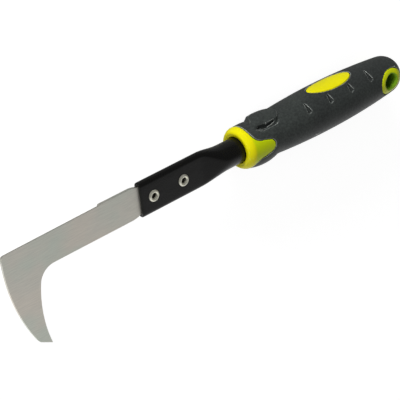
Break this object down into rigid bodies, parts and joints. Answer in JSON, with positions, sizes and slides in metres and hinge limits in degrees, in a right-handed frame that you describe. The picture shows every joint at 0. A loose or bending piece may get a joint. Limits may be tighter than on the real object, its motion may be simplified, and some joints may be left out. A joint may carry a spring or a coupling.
{
  "type": "patio weeding knife",
  "caption": "Hooked flat steel blade riveted into a flattened tube shank, with a two-colour moulded handle and a hang hole in its end.",
  "frame": {"origin": "middle of the hang hole, on the tool's long axis and in the middle of the blade's thickness", "axes": "+X along the tool from the hang hole towards the blade; +Y towards the tip of the hook; +Z along the hang hole, out of the blade's face"},
  "size_m": [0.3438, 0.0821, 0.0336],
  "materials": {
    "blade_steel": "satin stainless steel with a fine grain, ground bright on its bevels",
    "shank_black": "gloss black powder coat with a slight orange peel",
    "rivet_nickel": "nickel plated, semi-gloss",
    "core_yellow": "bright yellow polypropylene, satin to semi-gloss",
    "grip_rubber": "matt dark slate thermoplastic rubber"
  },
  "bodies": {
    "root": {"blade": "blade_steel", "shank": "shank_black", "rivet_front": "rivet_nickel", "rivet_rear": "rivet_nickel", "handle_core": "core_yellow", "grip": "grip_rubber"}
  },
  "joints": []
}
